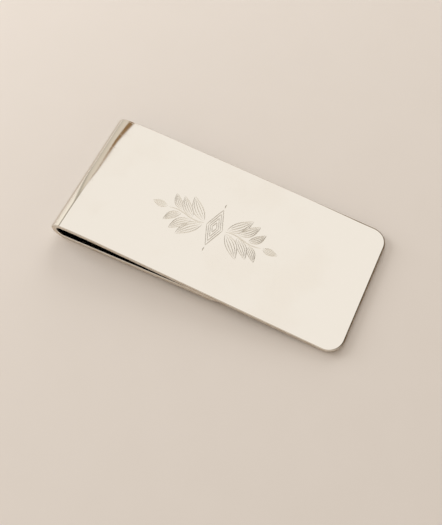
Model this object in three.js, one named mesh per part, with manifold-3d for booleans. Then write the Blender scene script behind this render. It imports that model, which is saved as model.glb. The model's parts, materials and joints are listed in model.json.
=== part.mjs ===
// Money clip: one strip of polished metal, folded over on itself.
//
// The strip runs from the open end of the front plate, along the plate, over a soft
// shoulder, round the U-shaped fold and back under the plate as a shorter spring leaf.
// The leaf climbs until it meets the back of the plate, then flares away at its lip.
//
// Millimetres, +Z up. +X points from the fold to the open end, Y is across the strip.
// The clip lies as it does on a table: on the fold and on the plate's open end.

import * as THREE from 'three';
import { mergeVertices } from 'three/addons/utils/BufferGeometryUtils.js';
import Module from 'manifold-3d';

// ---- driving sizes -------------------------------------------------------------

const STRIP_WIDTH = 25.4;
const STRIP_THICKNESS = 1.0;
const PLATE_LENGTH = 55.8;          // from the outside of the fold to the open end
const PLATE_CORNER_RADIUS = 3.0;
const NOTE_FACE_LENGTH = 18;        // bare back of the plate, past the leaf's lip

const SHOULDER_RADIUS = 62;         // the plate dips softly before the fold
const SHOULDER_TURN = 7.0;          // degrees
const FOLD_RADIUS = 1.87;           // to the middle of the strip
const LEAF_RISE = 6.8;              // degrees that the leaf climbs towards the plate

const LEAF_CLEARANCE = 0.3;         // between the leaf and the back of the plate
const LIP_RADIUS = 20;              // the bend where the leaf turns away again
const LIP_FLARE = 1.0;              // degrees that the lip opens
const LIP_LENGTH = 7.4;
const LIP_CORNER_RADIUS = 6.3;

const PLATE_GAP = 0.3;              // between the plate and the fold
const LEAF_GAP = 0.5;               // between the fold and the leaf, which closes as it flexes

const ARC_STEP = 5.0;               // degrees for one facet of a tight bend
const SOFT_ARC_STEP = 1.0;          // degrees for one facet of a soft bend
const CORNER_SEGMENTS = 12;

const DEGREE = Math.PI / 180;
const HALF_THICKNESS = STRIP_THICKNESS / 2;

// ---- the strip's middle line ---------------------------------------------------
// A station is a place on the middle line: x, z and the heading in degrees.
// Heading 180 runs towards the fold, 360 runs back towards the open end.

function walk(stations, length, turn, steps) {
  for (let i = 0; i < steps; i++) {
    const last = stations.at(-1);
    const middleHeading = (last.heading + turn / steps / 2) * DEGREE;
    const chord = chordLength(length / steps, turn / steps);
    stations.push({
      x: last.x + chord * Math.cos(middleHeading),
      z: last.z + chord * Math.sin(middleHeading),
      heading: last.heading + turn / steps,
    });
  }
}

function chordLength(arcLength, turn) {
  if (turn === 0) return arcLength;
  const radius = arcLength / Math.abs(turn * DEGREE);
  return 2 * radius * Math.sin(Math.abs(turn * DEGREE) / 2);
}

function straight(stations, length) {
  walk(stations, length, 0, 1);
}

function arc(stations, radius, turn, step) {
  const arcLength = radius * Math.abs(turn) * DEGREE;
  walk(stations, arcLength, turn, Math.ceil(Math.abs(turn) / step));
}

const foldTurn = 180 + LEAF_RISE - SHOULDER_TURN;
const foldOuterRadius = FOLD_RADIUS + HALF_THICKNESS;

// Plate: it ends where the fold's outside just reaches x = 0.
const shoulderReach = SHOULDER_RADIUS * Math.sin(SHOULDER_TURN * DEGREE);
const foldReach = foldOuterRadius - FOLD_RADIUS * Math.sin(SHOULDER_TURN * DEGREE);
const plateFlatLength = PLATE_LENGTH - shoulderReach - foldReach;

const plateLine = [{ x: PLATE_LENGTH, z: -HALF_THICKNESS, heading: 180 }];
straight(plateLine, NOTE_FACE_LENGTH);
straight(plateLine, plateFlatLength - NOTE_FACE_LENGTH);
arc(plateLine, SHOULDER_RADIUS, SHOULDER_TURN, SOFT_ARC_STEP);

const foldLine = [plateLine.at(-1)];
arc(foldLine, FOLD_RADIUS, foldTurn, ARC_STEP);

// Leaf: straight, then a bend that lifts its top to the clearance under the plate.
const leafStart = foldLine.at(-1);
const lipTurn = LEAF_RISE + LIP_FLARE;
const lipCrestLift = (LIP_RADIUS - HALF_THICKNESS) * (1 - Math.cos(LEAF_RISE * DEGREE));
const leafTopStart = leafStart.z + HALF_THICKNESS * Math.cos(LEAF_RISE * DEGREE);
const leafClimb = -STRIP_THICKNESS - LEAF_CLEARANCE - lipCrestLift - leafTopStart;
const leafStraightLength = leafClimb / Math.sin(LEAF_RISE * DEGREE);

const leafLine = [leafStart];
straight(leafLine, leafStraightLength);
arc(leafLine, LIP_RADIUS, -lipTurn, SOFT_ARC_STEP);
straight(leafLine, LIP_LENGTH);

// ---- solids --------------------------------------------------------------------

const wasm = await Module();
wasm.setup();

function toSolid(geometry) {
  const bare = geometry.clone();
  bare.deleteAttribute('normal');
  bare.deleteAttribute('uv');
  const merged = mergeVertices(bare);
  return new wasm.Manifold(new wasm.Mesh({
    numProp: 3,
    vertProperties: new Float32Array(merged.attributes.position.array),
    triVerts: new Uint32Array(merged.index.array),
  }));
}

function toGeometry(solid) {
  const mesh = solid.getMesh();
  const geometry = new THREE.BufferGeometry();
  geometry.setAttribute('position', new THREE.BufferAttribute(mesh.vertProperties, 3));
  geometry.setIndex(new THREE.BufferAttribute(mesh.triVerts, 1));
  geometry.computeVertexNormals();
  return geometry;
}

// A station moved across the strip: side -1 is the outside of the fold, +1 the inside.
function offset(station, side) {
  const angle = station.heading * DEGREE;
  return new THREE.Vector2(
    station.x - side * HALF_THICKNESS * Math.sin(angle),
    station.z + side * HALF_THICKNESS * Math.cos(angle),
  );
}

// A station moved along its own heading, to leave a gap at the end of a zone.
function shifted(station, distance) {
  return {
    x: station.x + distance * Math.cos(station.heading * DEGREE),
    z: station.z + distance * Math.sin(station.heading * DEGREE),
    heading: station.heading,
  };
}

// The strip's side view along a line, drawn out to the full width.
function stripSolid(line) {
  const outside = line.map((station) => offset(station, -1));
  const inside = line.map((station) => offset(station, 1)).reverse();
  const shape = new THREE.Shape([...outside, ...inside]);
  const geometry = new THREE.ExtrudeGeometry(shape, { depth: STRIP_WIDTH, bevelEnabled: false });
  geometry.translate(0, 0, -STRIP_WIDTH / 2);
  geometry.rotateX(Math.PI / 2);
  return geometry;
}

// The outline seen from above, with round corners at the end away from the fold.
function planSolid(endX, cornerRadius) {
  const halfWidth = STRIP_WIDTH / 2;
  const cornerX = endX - cornerRadius;
  const cornerY = halfWidth - cornerRadius;
  const shape = new THREE.Shape();
  shape.moveTo(0, -halfWidth);
  shape.lineTo(cornerX, -halfWidth);
  shape.absarc(cornerX, -cornerY, cornerRadius, -Math.PI / 2, 0, false);
  shape.absarc(cornerX, cornerY, cornerRadius, 0, Math.PI / 2, false);
  shape.lineTo(0, halfWidth);
  const geometry = new THREE.ExtrudeGeometry(shape, {
    depth: STRIP_WIDTH,
    bevelEnabled: false,
    curveSegments: CORNER_SEGMENTS,
  });
  geometry.translate(0, 0, -halfWidth);
  return geometry;
}

function roundCorners(geometry, endX, cornerRadius) {
  const plan = toSolid(planSolid(endX, cornerRadius));
  return toGeometry(toSolid(geometry).intersect(plan));
}

// ---- the three zones of the strip ----------------------------------------------

const polishedSilver = { color: 0xe9e4da, roughness: 0.12, metalness: 1.0 };

function zone(name, geometry) {
  const mesh = new THREE.Mesh(geometry, new THREE.MeshStandardMaterial(polishedSilver));
  mesh.name = name;
  return mesh;
}

function frontPlate() {
  const line = [...plateLine.slice(0, -1), shifted(plateLine.at(-1), -PLATE_GAP)];
  return zone('front_plate', roundCorners(stripSolid(line), PLATE_LENGTH, PLATE_CORNER_RADIUS));
}

function foldBend() {
  return zone('fold_bend', stripSolid(foldLine));
}

function springLeaf() {
  const line = [shifted(leafLine[0], LEAF_GAP), ...leafLine.slice(1)];
  const lipEnd = offset(line.at(-1), 1).x;
  return zone('spring_leaf', roundCorners(stripSolid(line), lipEnd, LIP_CORNER_RADIUS));
}

// ---- at rest on a table --------------------------------------------------------

// The table line touches the fold's outside and passes through the plate's lower end edge.
const foldCentre = {
  x: foldOuterRadius,
  z: foldLine[0].z - FOLD_RADIUS * Math.cos(SHOULDER_TURN * DEGREE),
};
const reach = PLATE_LENGTH - foldCentre.x;
const rise = -STRIP_THICKNESS - foldCentre.z;
const restTilt = Math.atan2(rise, reach) + Math.asin(foldOuterRadius / Math.hypot(reach, rise));

const group = new THREE.Group();
group.add(frontPlate(), foldBend(), springLeaf());
group.rotation.y = restTilt;

const box = new THREE.Box3().setFromObject(group, true);
const middle = box.getCenter(new THREE.Vector3());
group.position.set(-middle.x, -middle.y, -box.min.z);
group.updateMatrixWorld(true);

export default group;
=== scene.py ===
# Money clip: one strip of polished silver plate, folded over on itself, lying on a pale table.
# The leaf stays where it is, and the plate turns away from it about the middle of the fold.
#
# The three zones of the strip are built in strip coordinates and then bent into place:
#   s   the distance along the middle of the strip, from the plate's open end to the leaf's lip
#   y   across the strip
#   n   through the strip, positive towards the outside of the fold (the engraved side)

import json
import math

import bpy
import numpy as np
from mathutils import Matrix, Vector
from mathutils.geometry import delaunay_2d_cdt


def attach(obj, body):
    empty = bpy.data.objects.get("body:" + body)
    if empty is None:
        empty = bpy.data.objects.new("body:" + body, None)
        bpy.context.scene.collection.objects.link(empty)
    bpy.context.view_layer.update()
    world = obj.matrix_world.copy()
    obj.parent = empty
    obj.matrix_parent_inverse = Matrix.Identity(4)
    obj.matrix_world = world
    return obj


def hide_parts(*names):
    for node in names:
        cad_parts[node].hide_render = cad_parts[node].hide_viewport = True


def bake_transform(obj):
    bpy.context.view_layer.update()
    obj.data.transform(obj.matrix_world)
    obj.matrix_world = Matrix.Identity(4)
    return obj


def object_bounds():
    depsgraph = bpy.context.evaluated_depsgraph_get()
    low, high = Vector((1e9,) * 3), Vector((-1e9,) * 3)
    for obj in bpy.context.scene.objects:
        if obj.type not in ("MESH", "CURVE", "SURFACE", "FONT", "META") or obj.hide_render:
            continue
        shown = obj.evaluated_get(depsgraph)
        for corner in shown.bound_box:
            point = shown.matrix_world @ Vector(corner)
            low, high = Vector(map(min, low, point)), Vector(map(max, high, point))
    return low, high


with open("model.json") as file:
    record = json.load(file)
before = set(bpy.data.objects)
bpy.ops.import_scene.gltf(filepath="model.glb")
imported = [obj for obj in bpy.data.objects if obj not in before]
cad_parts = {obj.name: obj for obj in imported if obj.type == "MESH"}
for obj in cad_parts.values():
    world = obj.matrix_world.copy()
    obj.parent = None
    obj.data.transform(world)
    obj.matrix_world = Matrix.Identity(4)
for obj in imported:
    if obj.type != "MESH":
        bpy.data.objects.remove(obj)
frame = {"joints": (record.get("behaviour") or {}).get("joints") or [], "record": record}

CAD_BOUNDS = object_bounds()
MM = 0.001

# ---- sizes of the strip, in millimetres --------------------------------------------

STRIP_WIDTH = 25.4
STRIP_THICKNESS = 1.0
PLATE_LENGTH = 55.8
PLATE_CORNER_RADIUS = 3.0
SHOULDER_RADIUS = 62.0
SHOULDER_TURN = math.radians(7.0)
FOLD_RADIUS = 1.87
LEAF_RISE = math.radians(6.8)
LEAF_CLEARANCE = 0.1
LIP_RADIUS = 20.0
LIP_FLARE = math.radians(1.0)
LIP_LENGTH = 7.4
LIP_CORNER_RADIUS = 6.3
EDGE_RADIUS = 0.14
END_EDGE_RADIUS = 0.33               # the open end of the plate is rounded off more
# Near the open end, the rounded edge gets a painted dark line, a painted reflection of the dark room.
PAINTED_LINE_START = 6.0                  # from the open end, where the painted dark reflection line starts to fade
PAINTED_LINE_END = 17.0

HALF_WIDTH = STRIP_WIDTH / 2
HALF_THICKNESS = STRIP_THICKNESS / 2
FOLD_OUTER_RADIUS = FOLD_RADIUS + HALF_THICKNESS

# ---- fineness of the meshes ----------------------------------------------------------

EDGE_STEPS = 6                       # along each quarter round of the strip's edge
CORNER_STEPS = 24                    # along each round corner seen from above
SIDE_STEP = 1.5                      # millimetres along a straight side near an end
FOLD_STEP = math.radians(2.0)        # turn of one step round the fold
SOFT_STEP = math.radians(0.25)       # turn of one step round the shoulder and the crest
WELD_DIGITS = 5                      # points that agree to this many decimals are one point
ROUNDING = 1e-9                      # millimetres, far less than any step
NUDGE = 1e-7                         # millimetres, to look just beside the end of a run
FLAT = 1e-6                          # the part of a normal that counts as nothing

# ---- the engraved ornament, in millimetres -------------------------------------------

ORNAMENT_X = 26.8                    # from the outside of the fold
ORNAMENT_Y = -0.5
STROKE_HALF_WIDTH = 0.115
STROKE_STEPS = 12
GROOVE_SLOPE = 0.24                  # depth for each unit of half width
SHALLOWEST_CUT = 0.0015
MESH_TOLERANCE = 1e-4                # points of the face that are closer than this are one
INSIDE_OUTLINE = 1                   # asks delaunay_2d_cdt for the triangles inside the outline

STEM_START = 2.0
STEM_LENGTH = 7.2
STEM_SWING = 0.28
STEM_WEIGHT = 1.3                    # its width as a share of a leaf stroke's
LEAF_PAIRS = 3
LEAF_PAIR_PLACES = (0.04, 0.3)       # share of the stem before the first pair, and between pairs
LEAF_ANGLE = math.radians(47)
LEAF_OFFSET = 0.35                   # from the stem to the foot of a leaf
LEAF_LENGTH = 5.3
LEAF_SHORTENING = 0.85               # from one pair to the next
LEAF_SLIMNESS = 0.36                 # breadth as a share of length
LEAF_BOW = 0.3
LEAF_FULLNESS = 0.85                 # below 1 the leaf is broadest nearer its foot
TIP_LEAF_GAP = 0.25
TIP_LEAF_LENGTH = 2.9
TIP_LEAF_BREADTH = 1.15

# The lines of one leaf: where each lies as a share of half the breadth, and the shares of the
# leaf's length at which it starts and ends.
LEAF_LINES = ((1, 0, 1), (0.52, 0.14, 0.86), (0, 0.06, 0.94), (-0.52, 0.14, 0.86), (-1, 0, 1))

LOZENGE_HALF_LENGTH = 1.55
LOZENGE_HALF_HEIGHT = 3.9
LOZENGE_RINGS = (1.0, 0.76, 0.52, 0.28)
LOZENGE_WEIGHT = 0.8                 # width of its strokes as a share of a leaf stroke's
LOZENGE_TIP = 0.5                    # the share of that width left at its corners
TICK_GAP = 0.35                      # the short cuts above and below the lozenge
TICK_LENGTH = 0.9
TICK_STEPS = 6

# ---- colours and finish ----------------------------------------------------------------
# A noise is its cells for each metre and its detail. A range is where an effect starts and where it
# is full, and four numbers are a range and the values at its two ends. Heights are in metres.

SILVER = (0.83, 0.80, 0.75, 1)
TARNISH = (0.72, 0.64, 0.54, 1)
# Painted reflection: the dark room mirrored in the rounded edge near the open end, given as a colour.
PAINTED_DARK_LINE = (0.24, 0.17, 0.10, 1)
GRAZING_TINT = (0.80, 0.77, 0.73, 1)
PLATE_ROUGHNESS = 0.035
FOLD_ROUGHNESS = 0.05
LEAF_ROUGHNESS = 0.06
EDGE_ROUGHNESS = 0.6                 # the strip's narrow sides are satin
PLATE_SCRATCHES = (0.35, 1.1, 2.3)   # turns of the sets of hairline scratches, in radians
FOLD_SCRATCHES = (0.2, 1.5)
LEAF_SCRATCHES = (0.1, 0.6, 1.9)

RUB_NOISE = (90.0, 3.0)
RUB_RANGE = (0.5, 0.72)
RUB_TINT = 0.12
RUB_ROUGHNESS = 0.03
HAIR_NOISE = (60.0, 4.0)
HAIR_STRETCH = (1, 90, 90)
HAIR_RANGE = (0.66, 0.74)
HAIR_ROUGHNESS = 0.03
HAIR_STRENGTH = 0.04
HAIR_HEIGHT = 0.00001
SPECKLE_NOISE = (900.0, 4.0)
EDGE_SPECKLE = (0.35, 0.65, 0.3, 0.9)
LINE_SPECKLE = (0.3, 0.7, 0.75, 1.0)
WAVE_NOISE = (130.0, 0.0)
WAVE_STRENGTH = 0.012
WAVE_HEIGHT = 0.0004

CUT_DARK = (0.80, 0.77, 0.71, 1)
CUT_PALE = (0.90, 0.87, 0.81, 1)
CUT_GRAIN_NOISE = (9000.0, 3.0)
CUT_GRAIN_STRENGTH = 0.25
CUT_GRAIN_HEIGHT = 0.00001
CUT_ROUGHNESS = (0.3, 0.7, 0.22, 0.4)

TABLE_DARK = (0.717, 0.673, 0.638, 1)
TABLE_PALE = (0.737, 0.693, 0.662, 1)
TABLE_ROUGHNESS = 0.75
TABLE_MOTTLE_NOISE = (120.0, 5.0)
TABLE_GRAIN_NOISE = (2500.0, 2.0)
TABLE_GRAIN_STRENGTH = 0.08
TABLE_GRAIN_HEIGHT = 0.00005

# ---- the room, which is mirrored in the strip --------------------------------------------
# A direction is the parts x, y and z of a unit vector. Where an edge or a width changes along the
# room, it is given at two places, each as (part along the room, value there).

ROOM_BRIGHT_SIDE = (-0.30, 0.62, 0.72)   # towards the middle of the bright ceiling
BRIGHT_RANGE = (0.25, 0.8)           # how far a direction agrees with that, from dim to bright
ROOM_CEILING = (1.045, 0.999, 0.939, 1)
ROOM_WALL_LOW = (0.63, 0.58, 0.50, 1)
ROOM_WALL_HIGH = (0.78, 0.70, 0.59, 1)
ROOM_BEHIND_LOW = (0.80, 0.76, 0.70, 1)
ROOM_BEHIND = (0.52, 0.43, 0.335, 1)
ROOM_FAR_RIGHT = (0.10, 0.075, 0.055, 1)
ROOM_RAIL = (0.29, 0.17, 0.075, 1)
ROOM_FRAME = (0.46, 0.42, 0.35, 1)
ROOM_WINDOW = (1.05, 0.98, 0.87, 1)

CEILING_EDGE = ((0.394, 0.798), (0.44, 0.785))       # z by y
CEILING_STEP = ((0.335, 0.04), (0.36, 0.0))          # how much lower it is by the window
RAIL_WIDTH = ((0.40, 0.003), (0.466, 0.0165))
LINTEL_WIDTH = ((0.345, 0.12), (0.375, 0.0))
FRAME_EDGE = ((0.0, 0.392), (0.68, 0.354))           # y by z
FRAME_WIDTH = (0.005, 0.013)                         # solid, and where it has faded out
WALL_RANGE = (0.0, 0.7)                              # z, from the low to the high colour
BEHIND_RANGE = (0.05, 0.5)
LEFT_RANGE = (-0.3, -0.1)                            # x, where window and frame fade out
RIGHT_EDGE = ((0.3, 0.02), (0.85, -0.18))            # how far to the left of x = 0, by z
RIGHT_RANGE = (0.0, 0.14)
RIGHT_DEPTH = (-0.1, 0.2)                            # y, where the dark far right fades in
RIGHT_HEIGHT = (0.45, 0.6)                           # z, below which it isn't there
CEILING_SOFTNESS = 0.004
RAIL_SOFTNESS = 0.001
LINTEL_SOFTNESS = 0.01
WINDOW_SOFTNESS = 0.006

# ---- table, lights and camera ------------------------------------------------------------

FLOOR_HALF_SIZE = 1.5
LIGHT_DISTANCE = 0.40

# Name, direction, size, power and colour.
LIGHTS = (
    ("window", (-0.94, 0.03, 0.34), 0.26, 1.14, (0.98, 0.98, 0.97)),
    ("sky", (-0.20, 0.89, 0.37), 0.28, 0.59, (0.97, 0.98, 0.97)),
)

CAMERA_AZIMUTH = math.radians(27.24)     # round from -Y towards +X
CAMERA_ELEVATION = math.radians(65.14)
CAMERA_ROLL = math.radians(-1.96)
CAMERA_DISTANCE = 0.1229
CAMERA_LENS = 48.0
CAMERA_SENSOR_WIDTH = 36.0
CAMERA_CLIP = (0.001, 10.0)
CAMERA_OFFSET = (2.96, -6.15, 0.55)      # millimetres from the middle of the CAD box


# ---- the middle line of the strip ----------------------------------------------------

class MiddleLine:
    """Straight runs and arcs in the plate's own plane: x from the fold, z up, heading in radians."""

    def __init__(self, x, z, heading):
        self.runs = []
        self.end = (0.0, x, z, heading)

    def add(self, length, turn=0.0):
        """Adds a run and returns the distance s at its end."""
        s, x, z, heading = self.end
        self.runs.append((s, length, turn, x, z, heading))
        self.end = (s + length, *self._along(length, length, turn, x, z, heading))
        return s + length

    @staticmethod
    def _along(distance, length, turn, x, z, heading):
        if turn == 0.0:
            return x + distance * math.cos(heading), z + distance * math.sin(heading), heading
        radius = length / turn
        new = heading + turn * distance / length
        return (
            x + radius * (math.sin(new) - math.sin(heading)),
            z - radius * (math.cos(new) - math.cos(heading)),
            new,
        )

    def at(self, s):
        """(x, z, heading) at distance s."""
        start, length, turn, x, z, heading = next(
            run for run in reversed(self.runs) if s >= run[0] - ROUNDING
        )
        return self._along(s - start, length, turn, x, z, heading)


def strip_line():
    """The strip's middle line, and the distances at which its zones begin."""
    shoulder_reach = SHOULDER_RADIUS * math.sin(SHOULDER_TURN)
    fold_reach = FOLD_OUTER_RADIUS - FOLD_RADIUS * math.sin(SHOULDER_TURN)
    fold_turn = math.pi + LEAF_RISE - SHOULDER_TURN
    lip_turn = LEAF_RISE + LIP_FLARE

    line = MiddleLine(PLATE_LENGTH, -HALF_THICKNESS, math.pi)
    marks = {"shoulder": line.add(PLATE_LENGTH - shoulder_reach - fold_reach)}
    marks["fold"] = line.add(SHOULDER_RADIUS * SHOULDER_TURN, SHOULDER_TURN)
    marks["leaf"] = line.add(FOLD_RADIUS * fold_turn, fold_turn)

    crest_lift = (LIP_RADIUS - HALF_THICKNESS) * (1 - math.cos(LEAF_RISE))
    leaf_top = line.end[2] + HALF_THICKNESS * math.cos(LEAF_RISE)
    climb = -STRIP_THICKNESS - LEAF_CLEARANCE - crest_lift - leaf_top
    marks["crest"] = line.add(climb / math.sin(LEAF_RISE))
    marks["lip"] = line.add(LIP_RADIUS * lip_turn, -lip_turn)
    marks["end"] = line.add(LIP_LENGTH)
    return line, marks


LINE, MARK = strip_line()


def fold_centre():
    """The middle of the fold, on the axis of its joint, in the row frame."""
    joint = next(j for j in frame["joints"] if j["name"] == "fold_flex")
    return Vector(joint["pos_m"])


def plate_to_row():
    """Turns the plate's plane into the row frame: the fold's centre lies on the joint's axis."""
    face = next(m for m in frame["record"]["mounts"] if m["name"] == "engraving_face")
    tilt = math.atan2(face["axis"][0], face["axis"][2])
    drop = SHOULDER_RADIUS * (1 - math.cos(SHOULDER_TURN))
    centre_z = -HALF_THICKNESS - drop - FOLD_RADIUS * math.cos(SHOULDER_TURN)
    centre = Vector((FOLD_OUTER_RADIUS, 0.0, centre_z)) * MM
    turn = Matrix.Rotation(tilt, 3, "Y")
    return turn, fold_centre() - turn @ centre


TURN, SHIFT = plate_to_row()


def to_row(s, y, n):
    """A point in strip coordinates, in metres in the row frame."""
    x, z, heading = LINE.at(s)
    point = Vector((x + n * math.sin(heading), y, z - n * math.cos(heading)))
    return TURN @ (point * MM) + SHIFT


def direction_to_row(s, along, across, out):
    """A direction given by its parts along s, y and n at distance s, in the row frame."""
    heading = LINE.at(s)[2]
    x = along * math.cos(heading) + out * math.sin(heading)
    z = along * math.sin(heading) - out * math.cos(heading)
    return (TURN @ Vector((x, across, z))).normalized()


# ---- a skin of faces with exact normals ------------------------------------------------

def painted_line_share(s):
    """How much of the painted dark reflection line there is at distance s, and of the larger edge
    radius that goes with it: all at the open end, then less.
    """
    return min(1.0, max(0.0, (PAINTED_LINE_END - s) / (PAINTED_LINE_END - PAINTED_LINE_START)))


def area_vector(spots):
    """Twice the area of a flat face, along the normal that its winding gives."""
    return sum((a.cross(b) for a, b in zip(spots, spots[1:] + spots[:1])), Vector())


class Skin:
    """Collects faces in strip coordinates. Each corner is its place s, y and n, and then its
    normal's parts along the strip, across it and out through it."""

    def __init__(self):
        self.index = {}
        self.points = []
        self.wear = []
        self.painted_line = []
        self.faces = []
        self.normals = []
        self.slots = []

    def _vertex(self, s, y, n):
        key = (round(s, WELD_DIGITS), round(y, WELD_DIGITS), round(n, WELD_DIGITS))
        if key not in self.index:
            self.index[key] = len(self.points)
            self.points.append((s, y, n))
            self.wear.append(0.0)
            self.painted_line.append(0.0)
        return self.index[key]

    def add(self, corners, slot=0, is_cut=False):
        """Adds one face, wound to agree with its normals, unless its corners have become fewer
        than three points. is_cut says that the face closes a cut across the strip, which has no
        worn edge."""
        ids = [self._vertex(*corner[:3]) for corner in corners]
        if not is_cut:
            self._mark_edges(ids, corners)
        kept = [i for i in range(len(ids)) if ids[i] != ids[i - 1]]
        if len(kept) < 3:
            return
        ids = [ids[i] for i in kept]
        normals = [direction_to_row(corners[i][0], *corners[i][3:]) for i in kept]
        spots = [to_row(*self.points[i]) for i in ids]
        if area_vector(spots).dot(sum(normals, Vector())) < 0:
            ids.reverse()
            normals.reverse()
        self.faces.append(ids)
        self.normals.append(normals)
        self.slots.append(slot)

    def build(self, name, materials):
        """Makes the Blender object, with the exact normals on its corners."""
        mesh = bpy.data.meshes.new(name)
        mesh.from_pydata([to_row(*p) for p in self.points], [], self.faces)
        for material in materials:
            mesh.materials.append(material)
        mesh.polygons.foreach_set("material_index", self.slots)
        mesh.polygons.foreach_set("use_smooth", [True] * len(self.faces))
        mesh.normals_split_custom_set([n for face in self.normals for n in face])
        for attribute, values in (("edge_wear", self.wear), ("edge_painted_line", self.painted_line)):
            layer = mesh.attributes.new(attribute, "FLOAT", "POINT")
            layer.data.foreach_set("value", values)
        mesh.update()
        piece = bpy.data.objects.new(name, mesh)
        bpy.context.scene.collection.objects.link(piece)
        return piece

    def _mark_edges(self, ids, corners):
        """Notes the points on the narrow sides of the strip, and those on the rounded edge of the
        outer face near the plate's open end, where a dark line is painted as a reflection of the
        dark room that this edge mirrors. The painted line is full at the end and on the side at +y,
        and there is none on the side at -y."""
        for i, (s, _, _, along, across, out) in zip(ids, corners):
            tilt = math.hypot(along, across)
            if abs(out) < FLAT:
                self.wear[i] = 1.0
            # How much of the painted dark reflection line this point gets.
            if out > -FLAT and tilt > FLAT:
                self.painted_line[i] = painted_line_share(s) * min(1.0, 1.0 + across / tilt)


def edge_profile(radius=EDGE_RADIUS):
    """The rounded edge, from the outer face to the inner: (inset from the edge, n, normal out of
    the edge, normal through the strip)."""
    inner = HALF_THICKNESS - radius
    profile = []
    for sign, steps in ((1, range(EDGE_STEPS + 1)), (-1, range(EDGE_STEPS, -1, -1))):
        for step in steps:
            angle = math.pi / 2 * step / EDGE_STEPS
            away = math.sin(angle)
            up = sign * math.cos(angle)
            profile.append((radius * (1 - away), sign * inner + radius * up, away, up))
    return profile


PROFILE = edge_profile()


def section_ring():
    """The strip's whole cross-section, going round from the outer face: (y, n, normal y, normal n)."""
    right = [(HALF_WIDTH - inset, n, away, up) for inset, n, away, up in PROFILE]
    left = [(-y, n, -away, up) for y, n, away, up in reversed(right)]
    return right + left


RING = section_ring()


def stations(start, end, step_turn):
    """Distances from start to end, fine enough that each step turns by step_turn at most."""
    marks = [start, *(m for m in sorted(MARK.values()) if start < m < end), end]
    result = [start]
    for a, b in zip(marks, marks[1:]):
        turn = abs(LINE.at(b - NUDGE)[2] - LINE.at(a + NUDGE)[2])
        steps = max(1, math.ceil(turn / step_turn))
        result += [a + (b - a) * i / steps for i in range(1, steps + 1)]
    return result


def sweep(skin, start, end, step_turn):
    """The strip's skin between two distances."""
    places = stations(start, end, step_turn)
    for a, b in zip(places, places[1:]):
        for i in range(len(RING)):
            (y0, n0, *normal0), (y1, n1, *normal1) = RING[i - 1], RING[i]
            skin.add([
                (a, y0, n0, 0.0, *normal0),
                (a, y1, n1, 0.0, *normal1),
                (b, y1, n1, 0.0, *normal1),
                (b, y0, n0, 0.0, *normal0),
            ])


def cap(skin, s, along):
    """Closes a cut across the strip; along is the side that the cap faces, +1 or -1."""
    skin.add([(s, y, n, float(along), 0.0, 0.0) for y, n, *_ in RING], is_cut=True)


def rounded_outline(chord, end, radius):
    """The open outline from the chord round the end and back: (s, y, outward s, outward y). It is
    smooth all the way, so each point has one outward direction."""
    sign = 1.0 if end > chord else -1.0
    centre_s = end - sign * radius
    centre_y = HALF_WIDTH - radius
    steps_along = math.ceil(abs(centre_s - chord) / SIDE_STEP)
    side = [chord + (centre_s - chord) * i / steps_along for i in range(steps_along)]
    outline = [(s, -HALF_WIDTH, 0.0, -1.0) for s in side]
    for flank in (-1.0, 1.0):
        steps = range(CORNER_STEPS + 1) if flank < 0 else range(CORNER_STEPS, -1, -1)
        for step in steps:
            angle = math.pi / 2 * step / CORNER_STEPS
            out_s = sign * math.sin(angle)
            out_y = flank * math.cos(angle)
            s = centre_s + radius * out_s
            y = flank * centre_y + radius * out_y
            outline.append((s, y, out_s, out_y))
    outline += [(s, HALF_WIDTH, 0.0, 1.0) for s in reversed(side)]
    return outline


def rounded_end(skin, chord, end, radius, end_edge_radius, outer_face):
    """The end of the strip past a chord, with round corners. Its edges are rounded too, by
    EDGE_RADIUS at the chord and by end_edge_radius at the end, and the side at +y has the larger
    radius as far as the painted dark reflection line reaches. outer_face(skin, corners) fills the
    face at +n, and the face at -n is one flat polygon."""
    rim = []
    for s, y, out_s, out_y in rounded_outline(chord, end, radius):
        growth = max(abs(out_s), painted_line_share(s) * max(0.0, out_y))
        edge_radius = EDGE_RADIUS + (end_edge_radius - EDGE_RADIUS) * growth
        rim.append([
            (s - inset * out_s, y - inset * out_y, n, away * out_s, away * out_y, up)
            for inset, n, away, up in edge_profile(edge_radius)
        ])
    for a, b in zip(rim, rim[1:]):
        for i in range(len(PROFILE) - 1):
            skin.add([a[i], a[i + 1], b[i + 1], b[i]])
    skin.add([place[-1] for place in rim])
    outer_face(skin, [place[0] for place in rim])


# ---- the engraved ornament -------------------------------------------------------------
# A generic spray of leaves either side of a lozenge, cut with a V-shaped graver.
# Strokes are in the plate's own plane, in millimetres from the ornament's middle, and each
# is a list of (x, y, half width). They get narrower towards both ends.

def tapered(points, half_width=STROKE_HALF_WIDTH, tip=0.0):
    """Gives a line of points the swelling width of a graver's cut. tip is the share of the width
    that is left at both ends."""
    last = len(points) - 1
    swell = [math.sqrt(abs(math.sin(math.pi * i / last))) for i in range(last + 1)]
    return [
        (x, y, half_width * (tip + (1.0 - tip) * share)) for (x, y), share in zip(points, swell)
    ]


def leaf_strokes(x, y, angle, length, breadth, bow):
    """One leaf: two edges, a rib and two lines between, all following the leaf's bow."""
    strokes = []
    for share, start, end in LEAF_LINES:
        points = []
        for step in range(STROKE_STEPS + 1):
            t = start + (end - start) * step / STROKE_STEPS
            u = length * t
            half_breadth = share * breadth / 2 * math.sin(math.pi * t ** LEAF_FULLNESS)
            v = bow * math.sin(math.pi * t) + half_breadth
            points.append((
                x + u * math.cos(angle) - v * math.sin(angle),
                y + u * math.sin(angle) + v * math.cos(angle),
            ))
        strokes.append(tapered(points))
    return strokes


def stem_point(u):
    """The stem's middle line at a distance u from its start."""
    return STEM_START + u, STEM_SWING * math.sin(2 * math.pi * u / STEM_LENGTH)


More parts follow.
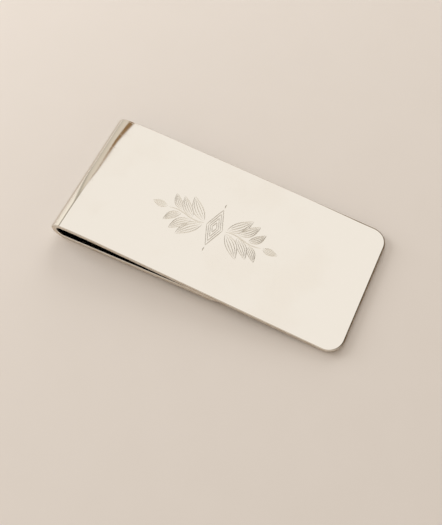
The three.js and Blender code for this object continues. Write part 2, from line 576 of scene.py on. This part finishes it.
def spray_strokes():
    """The stem, its pairs of leaves and the leaf at its tip, on the +x side."""
    steps = 2 * STROKE_STEPS
    stem = [stem_point(STEM_LENGTH * i / steps) for i in range(steps + 1)]
    strokes = [tapered(stem, STEM_WEIGHT * STROKE_HALF_WIDTH)]
    first, spacing = LEAF_PAIR_PLACES
    for pair in range(LEAF_PAIRS):
        x, y = stem_point(STEM_LENGTH * (first + spacing * pair))
        length = LEAF_LENGTH - LEAF_SHORTENING * pair
        for side in (-1, 1):
            strokes += leaf_strokes(
                x,
                y + side * LEAF_OFFSET,
                side * LEAF_ANGLE,
                length,
                LEAF_SLIMNESS * length,
                side * -LEAF_BOW,
            )
    tip_x, tip_y = stem_point(STEM_LENGTH)
    strokes += leaf_strokes(
        tip_x + TIP_LEAF_GAP, tip_y, 0.0, TIP_LEAF_LENGTH, TIP_LEAF_BREADTH, 0.0
    )
    return strokes


def lozenge_strokes():
    """Nested lozenges at the middle, each side its own cut, with a short cut above and below."""
    strokes = []
    shares = [i / STROKE_STEPS for i in range(STROKE_STEPS + 1)]
    for ring in LOZENGE_RINGS:
        corner_x = ring * LOZENGE_HALF_LENGTH
        corner_y = ring * LOZENGE_HALF_HEIGHT
        for side_x in (-1, 1):
            for side_y in (-1, 1):
                points = [
                    (side_x * (corner_x - corner_x * t), side_y * corner_y * t) for t in shares
                ]
                half_width = LOZENGE_WEIGHT * STROKE_HALF_WIDTH
                strokes.append(tapered(points, half_width, tip=LOZENGE_TIP))
    for side in (-1, 1):
        start = side * (LOZENGE_HALF_HEIGHT + TICK_GAP)
        points = [
            (0.0, start + side * TICK_LENGTH * i / TICK_STEPS) for i in range(TICK_STEPS + 1)
        ]
        strokes.append(tapered(points))
    return strokes


def ornament_strokes():
    """Every stroke of the ornament in strip coordinates: arrays of (s, y, half width)."""
    right = spray_strokes()
    left = [[(-x, -y, w) for x, y, w in stroke] for stroke in right]
    plate_end = PLATE_LENGTH - ORNAMENT_X
    return [
        np.array([(plate_end - x, ORNAMENT_Y + y, w) for x, y, w in stroke])
        for stroke in right + left + lozenge_strokes()
    ]


def groove_sides(stroke):
    """The two edges of a stroke's groove, as lines of (s, y) points."""
    centre = stroke[:, :2]
    direction = np.gradient(centre, axis=0)
    direction /= np.linalg.norm(direction, axis=1)[:, None]
    across = np.stack([-direction[:, 1], direction[:, 0]], axis=1)
    return [centre + side * across * stroke[:, 2:] for side in (-1, 1)]


def groove_depth(points, strokes):
    """How deep the cut is at each point: the deepest of the strokes that reach it."""
    depth = np.zeros(len(points))
    for stroke in strokes:
        a, b = stroke[:-1], stroke[1:]
        along = b[:, :2] - a[:, :2]
        offset = points[:, None, :] - a[None, :, :2]
        share = np.clip((offset * along).sum(2) / (along ** 2).sum(1), 0, 1)
        gap = np.linalg.norm(offset - share[..., None] * along, axis=2)
        half_width = a[:, 2] + share * (b[:, 2] - a[:, 2])
        depth = np.maximum(depth, ((half_width - gap) * GROOVE_SLOPE).max(1))
    depth[depth < SHALLOWEST_CUT] = 0.0
    return depth


def engraved_face(skin, corners):
    """The outer face of the plate, triangulated round the grooves of the ornament."""
    strokes = ornament_strokes()
    points = [Vector((s, y)) for s, y, *_ in corners]
    outline = list(range(len(points)))
    edges = []

    def keep_line(line):
        """Adds a line whose edges the triangles must follow."""
        first = len(points)
        points.extend(Vector(p) for p in line)
        edges.extend((first + i, first + i + 1) for i in range(len(line) - 1))

    for stroke in strokes:
        keep_line(stroke[:, :2])
        for side in groove_sides(stroke):
            keep_line(side)
    flat, _, triangles, *_ = delaunay_2d_cdt(
        points, edges, [outline], INSIDE_OUTLINE, MESH_TOLERANCE
    )
    places = np.array([tuple(p) for p in flat])
    depth = groove_depth(places, strokes)
    for triangle in triangles:
        tri = np.column_stack([places[triangle], HALF_THICKNESS - depth[triangle]])
        cut = depth[triangle].max() > 0
        normal = face_normal(tri) if cut else (0.0, 0.0, 1.0)
        skin.add([(*p, *normal) for p in tri], slot=1 if cut else 0)


def face_normal(tri):
    """The unit normal of a triangle in strip coordinates, on the +n side."""
    normal = np.cross(tri[1] - tri[0], tri[2] - tri[0])
    normal /= np.linalg.norm(normal)
    return tuple(normal if normal[2] > 0 else -normal)


# ---- materials ---------------------------------------------------------------------------

class Nodes:
    """A short way to write a node tree."""

    def __init__(self, owner):
        owner.use_nodes = True
        self.tree = owner.node_tree
        self.tree.nodes.clear()

    def add(self, kind, inputs=None, **settings):
        """Adds a node. Each of its inputs is a value, or another node's output to link to."""
        node = self.tree.nodes.new(kind)
        for key, value in settings.items():
            setattr(node, key, value)
        for key, value in (inputs or {}).items():
            if isinstance(value, bpy.types.NodeSocket):
                self.tree.links.new(value, node.inputs[key])
            else:
                node.inputs[key].default_value = value
        return node

    def ramp(self, value, low, high, to_low=0.0, to_high=1.0):
        """value between low and high, mapped smoothly to to_low and to_high."""
        return self.add(
            "ShaderNodeMapRange",
            {0: value, 1: low, 2: high, 3: to_low, 4: to_high},
            interpolation_type="SMOOTHSTEP",
        ).outputs[0]

    def line(self, value, start, end):
        """value mapped along a straight line between start and end, each (value, result)."""
        (a, at_a), (b, at_b) = start, end
        return self.add("ShaderNodeMapRange", {0: value, 1: a, 2: b, 3: at_a, 4: at_b}).outputs[0]

    def step(self, value, softness):
        """0 below nothing and 1 above it, with a soft change between."""
        return self.ramp(value, -softness, softness)

    def bump(self, height, strength, distance, **inputs):
        """A bump from a height, on the normal in inputs if there is one."""
        settings = {"Strength": strength, "Distance": distance, "Height": height, **inputs}
        return self.add("ShaderNodeBump", settings).outputs[0]

    def attribute(self, name):
        """A number that the mesh holds for each of its points."""
        return self.add("ShaderNodeAttribute", attribute_name=name).outputs["Fac"]

    def place(self):
        """The point's own place in its object."""
        return self.add("ShaderNodeTexCoord").outputs["Object"]

    def noise(self, coordinates, settings, stretch=(1, 1, 1), turn=0.0):
        """Noise from 0 to 1. Its cells are turned about z and made narrower by stretch."""
        scale, detail = settings
        mapping = self.add(
            "ShaderNodeMapping", {0: coordinates, "Rotation": (0, 0, turn), "Scale": stretch}
        )
        return self.add(
            "ShaderNodeTexNoise", {"Vector": mapping.outputs[0], "Scale": scale, "Detail": detail}
        ).outputs[0]

    def math(self, operation, a, b=0.0):
        """One operation on two numbers, or on one where b is left out."""
        return self.add("ShaderNodeMath", {0: a, 1: b}, operation=operation).outputs[0]

    def mix(self, share, a, b):
        """Colour a where share is 0 and b where it is 1. The node's colours are inputs 6 and 7."""
        return self.add("ShaderNodeMix", {0: share, 6: a, 7: b}, data_type="RGBA").outputs[2]

    def surface(self, **inputs):
        """Ends a material with the standard surface."""
        named = {key.replace("_", " "): value for key, value in inputs.items()}
        shader = self.add("ShaderNodeBsdfPrincipled", named)
        self.add("ShaderNodeOutputMaterial", {0: shader.outputs[0]})


def new_material(name):
    """A material with an empty node tree."""
    material = bpy.data.materials.new(name)
    return material, Nodes(material)


def silver(name, roughness, scratch_turns):
    """Polished silver plate: a faint waviness, hairline scratches at the given turns, soft rubbed
    patches, satin and slightly warmer narrow sides, and a painted dark brown line where the mesh
    has one, which is a painted reflection of the dark room in the rounded edge."""
    material, nodes = new_material(name)
    place = nodes.place()
    edge = nodes.attribute("edge_wear")

    rubbed = nodes.ramp(nodes.noise(place, RUB_NOISE), *RUB_RANGE)
    scratches = 0.0
    for turn in scratch_turns:
        hairs = nodes.noise(place, HAIR_NOISE, stretch=HAIR_STRETCH, turn=turn)
        scratches = nodes.math("MAXIMUM", scratches, nodes.ramp(hairs, *HAIR_RANGE))

    speckle = nodes.noise(place, SPECKLE_NOISE)
    edge_tone = nodes.math("MULTIPLY", edge, nodes.ramp(speckle, *EDGE_SPECKLE))
    rubbed_tone = nodes.math("MULTIPLY", rubbed, RUB_TINT)
    tint = nodes.mix(nodes.math("MAXIMUM", edge_tone, rubbed_tone), SILVER, TARNISH)
    # The painted dark reflection line on the rounded edge near the open end.
    line = nodes.attribute("edge_painted_line")
    line_tone = nodes.math("MULTIPLY", line, nodes.ramp(speckle, *LINE_SPECKLE))
    tint = nodes.mix(line_tone, tint, PAINTED_DARK_LINE)

    rough = nodes.line(edge, (0.0, roughness), (1.0, EDGE_ROUGHNESS))
    rough = nodes.math("ADD", rough, nodes.math("MULTIPLY", rubbed, RUB_ROUGHNESS))
    rough = nodes.math("ADD", rough, nodes.math("MULTIPLY", scratches, HAIR_ROUGHNESS))

    wavy = nodes.bump(nodes.noise(place, WAVE_NOISE), WAVE_STRENGTH, WAVE_HEIGHT)
    hairline = nodes.bump(scratches, HAIR_STRENGTH, HAIR_HEIGHT, Normal=wavy)
    nodes.surface(
        Base_Color=tint,
        Metallic=1.0,
        Roughness=rough,
        Specular_Tint=GRAZING_TINT,
        Normal=hairline,
    )
    return material


def cut_silver():
    """The bright but finely torn surface that a graver leaves."""
    material, nodes = new_material("cut_silver")
    grain = nodes.noise(nodes.place(), CUT_GRAIN_NOISE)
    nodes.surface(
        Base_Color=nodes.mix(grain, CUT_DARK, CUT_PALE),
        Metallic=1.0,
        Roughness=nodes.ramp(grain, *CUT_ROUGHNESS),
        Normal=nodes.bump(grain, CUT_GRAIN_STRENGTH, CUT_GRAIN_HEIGHT),
    )
    return material


def table_top():
    """Pale, warm, matt painted board with a very slight mottle."""
    material, nodes = new_material("table_top")
    place = nodes.place()
    mottle = nodes.noise(place, TABLE_MOTTLE_NOISE)
    grain = nodes.noise(place, TABLE_GRAIN_NOISE)
    nodes.surface(
        Base_Color=nodes.mix(mottle, TABLE_DARK, TABLE_PALE),
        Roughness=TABLE_ROUGHNESS,
        Normal=nodes.bump(grain, TABLE_GRAIN_STRENGTH, TABLE_GRAIN_HEIGHT),
    )
    return material


# ---- the three pieces ----------------------------------------------------------------------

def front_plate():
    """The engraved plate with its round corners, and the soft shoulder."""
    skin = Skin()
    rounded_end(skin, MARK["shoulder"], 0.0, PLATE_CORNER_RADIUS, END_EDGE_RADIUS, engraved_face)
    sweep(skin, MARK["shoulder"], MARK["fold"], SOFT_STEP)
    cap(skin, MARK["fold"], 1)
    polished = silver("plate_silver", PLATE_ROUGHNESS, PLATE_SCRATCHES)
    piece = skin.build("front_plate_skin", [polished, cut_silver()])
    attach(piece, "front")
    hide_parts("front_plate")


def fold_bend():
    """The bend between the plate and the leaf."""
    skin = Skin()
    cap(skin, MARK["fold"], -1)
    sweep(skin, MARK["fold"], MARK["leaf"], FOLD_STEP)
    cap(skin, MARK["leaf"], 1)
    polished = silver("fold_silver", FOLD_ROUGHNESS, FOLD_SCRATCHES)
    piece = skin.build("fold_bend_skin", [polished])
    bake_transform(piece)
    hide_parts("fold_bend")


def spring_leaf():
    """The leaf under the plate, with its crest and its round lip."""
    skin = Skin()
    cap(skin, MARK["leaf"], -1)
    sweep(skin, MARK["leaf"], MARK["lip"], SOFT_STEP)
    rounded_end(skin, MARK["lip"], MARK["end"], LIP_CORNER_RADIUS, EDGE_RADIUS, Skin.add)
    polished = silver("leaf_silver", LEAF_ROUGHNESS, LEAF_SCRATCHES)
    piece = skin.build("spring_leaf_skin", [polished])
    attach(piece, "leaf")
    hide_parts("spring_leaf")


# ---- stage, light and camera ------------------------------------------------------------------

def floor():
    """The flat table that the clip lies on."""
    mesh = bpy.data.meshes.new("table")
    signs = [(-1, -1), (1, -1), (1, 1), (-1, 1)]
    corners = [(x * FLOOR_HALF_SIZE, y * FLOOR_HALF_SIZE, 0.0) for x, y in signs]
    mesh.from_pydata(corners, [], [(0, 1, 2, 3)])
    mesh.materials.append(table_top())
    table = bpy.data.objects.new("table", mesh)
    bpy.context.scene.collection.objects.link(table)


def soft_light(name, direction, size, power, colour):
    """A round light that faces the clip. The polished metal mirrors the room and not the lights."""
    light = bpy.data.lights.new(name, "AREA")
    light.shape = "DISK"
    light.size = size
    light.energy = power
    light.color = colour
    holder = bpy.data.objects.new(name, light)
    holder.location = Vector(direction).normalized() * LIGHT_DISTANCE
    holder.rotation_mode = "QUATERNION"
    holder.rotation_quaternion = (-holder.location).to_track_quat("-Z", "Y")
    holder.visible_glossy = False
    bpy.context.scene.collection.objects.link(holder)


def room():
    """A room lit from one side, as the polished strip mirrors it: a bright ceiling, a wall under
    it, a window low on the left, a brown rail where wall and ceiling meet, a dim wall behind that
    is paler low down, and a dark part high on the far right."""
    world = bpy.data.worlds.new("room")
    bpy.context.scene.world = world
    nodes = Nodes(world)
    direction = nodes.add("ShaderNodeTexCoord").outputs["Generated"]
    x, y, z = nodes.add("ShaderNodeSeparateXYZ", {0: direction}).outputs
    facing = nodes.add(
        "ShaderNodeVectorMath", {0: direction, 1: ROOM_BRIGHT_SIDE}, operation="DOT_PRODUCT"
    ).outputs["Value"]

    ceiling_edge = nodes.math(
        "SUBTRACT", nodes.line(y, *CEILING_EDGE), nodes.line(y, *CEILING_STEP)
    )
    above_edge = nodes.math("SUBTRACT", z, ceiling_edge)
    above_rail = nodes.math("ADD", above_edge, nodes.line(y, *RAIL_WIDTH))
    above_lintel = nodes.math("ADD", above_edge, nodes.line(y, *LINTEL_WIDTH))
    beside_frame = nodes.math("SUBTRACT", y, nodes.line(z, *FRAME_EDGE))
    past_frame = nodes.math("ABSOLUTE", beside_frame)
    on_left = nodes.ramp(x, *LEFT_RANGE, 1.0, 0.0)

    wall = nodes.mix(nodes.ramp(z, *WALL_RANGE), ROOM_WALL_LOW, ROOM_WALL_HIGH)
    in_window = nodes.ramp(beside_frame, -WINDOW_SOFTNESS, WINDOW_SOFTNESS, 1.0, 0.0)
    wall = nodes.mix(nodes.math("MULTIPLY", in_window, on_left), wall, ROOM_WINDOW)
    on_frame = nodes.ramp(past_frame, *FRAME_WIDTH, 1.0, 0.0)
    wall = nodes.mix(nodes.math("MULTIPLY", on_frame, on_left), wall, ROOM_FRAME)
    on_lintel = nodes.math("MULTIPLY", nodes.step(above_lintel, LINTEL_SOFTNESS), on_left)
    wall = nodes.mix(on_lintel, wall, ROOM_FRAME)
    wall = nodes.mix(nodes.step(above_rail, RAIL_SOFTNESS), wall, ROOM_RAIL)
    seen = nodes.mix(nodes.step(above_edge, CEILING_SOFTNESS), wall, ROOM_CEILING)

    behind = nodes.mix(nodes.ramp(z, *BEHIND_RANGE), ROOM_BEHIND_LOW, ROOM_BEHIND)
    colour = nodes.mix(nodes.ramp(facing, *BRIGHT_RANGE), behind, seen)
    to_right = nodes.math("ADD", x, nodes.line(z, *RIGHT_EDGE))
    on_right = nodes.math(
        "MULTIPLY", nodes.ramp(to_right, *RIGHT_RANGE), nodes.ramp(y, *RIGHT_DEPTH)
    )
    on_right = nodes.math("MULTIPLY", on_right, nodes.ramp(z, *RIGHT_HEIGHT))
    colour = nodes.mix(on_right, colour, ROOM_FAR_RIGHT)
    background = nodes.add("ShaderNodeBackground", {0: colour})
    nodes.add("ShaderNodeOutputWorld", {0: background.outputs[0]})


def camera():
    """The camera, which looks down at the clip from the front and a little from the right."""
    level = math.cos(CAMERA_ELEVATION)
    back = Vector((
        math.sin(CAMERA_AZIMUTH) * level,
        -math.cos(CAMERA_AZIMUTH) * level,
        math.sin(CAMERA_ELEVATION),
    ))
    right = Vector((math.cos(CAMERA_AZIMUTH), math.sin(CAMERA_AZIMUTH), 0.0))
    turn = Matrix((right, back.cross(right), back)).transposed()
    turn = turn @ Matrix.Rotation(CAMERA_ROLL, 3, "Z")
    data = bpy.data.cameras.new("camera")
    data.lens = CAMERA_LENS
    data.sensor_width = CAMERA_SENSOR_WIDTH
    data.clip_start, data.clip_end = CAMERA_CLIP
    holder = bpy.data.objects.new("camera", data)
    middle = (CAD_BOUNDS[0] + CAD_BOUNDS[1]) / 2
    target = middle + Vector(CAMERA_OFFSET) * MM
    holder.matrix_world = Matrix.Translation(target + back * CAMERA_DISTANCE) @ turn.to_4x4()
    bpy.context.scene.collection.objects.link(holder)
    bpy.context.scene.camera = holder


front_plate()
fold_bend()
spring_leaf()
floor()
room()
for light_row in LIGHTS:
    soft_light(*light_row)
camera()
bpy.context.scene.view_settings.view_transform = "Standard"
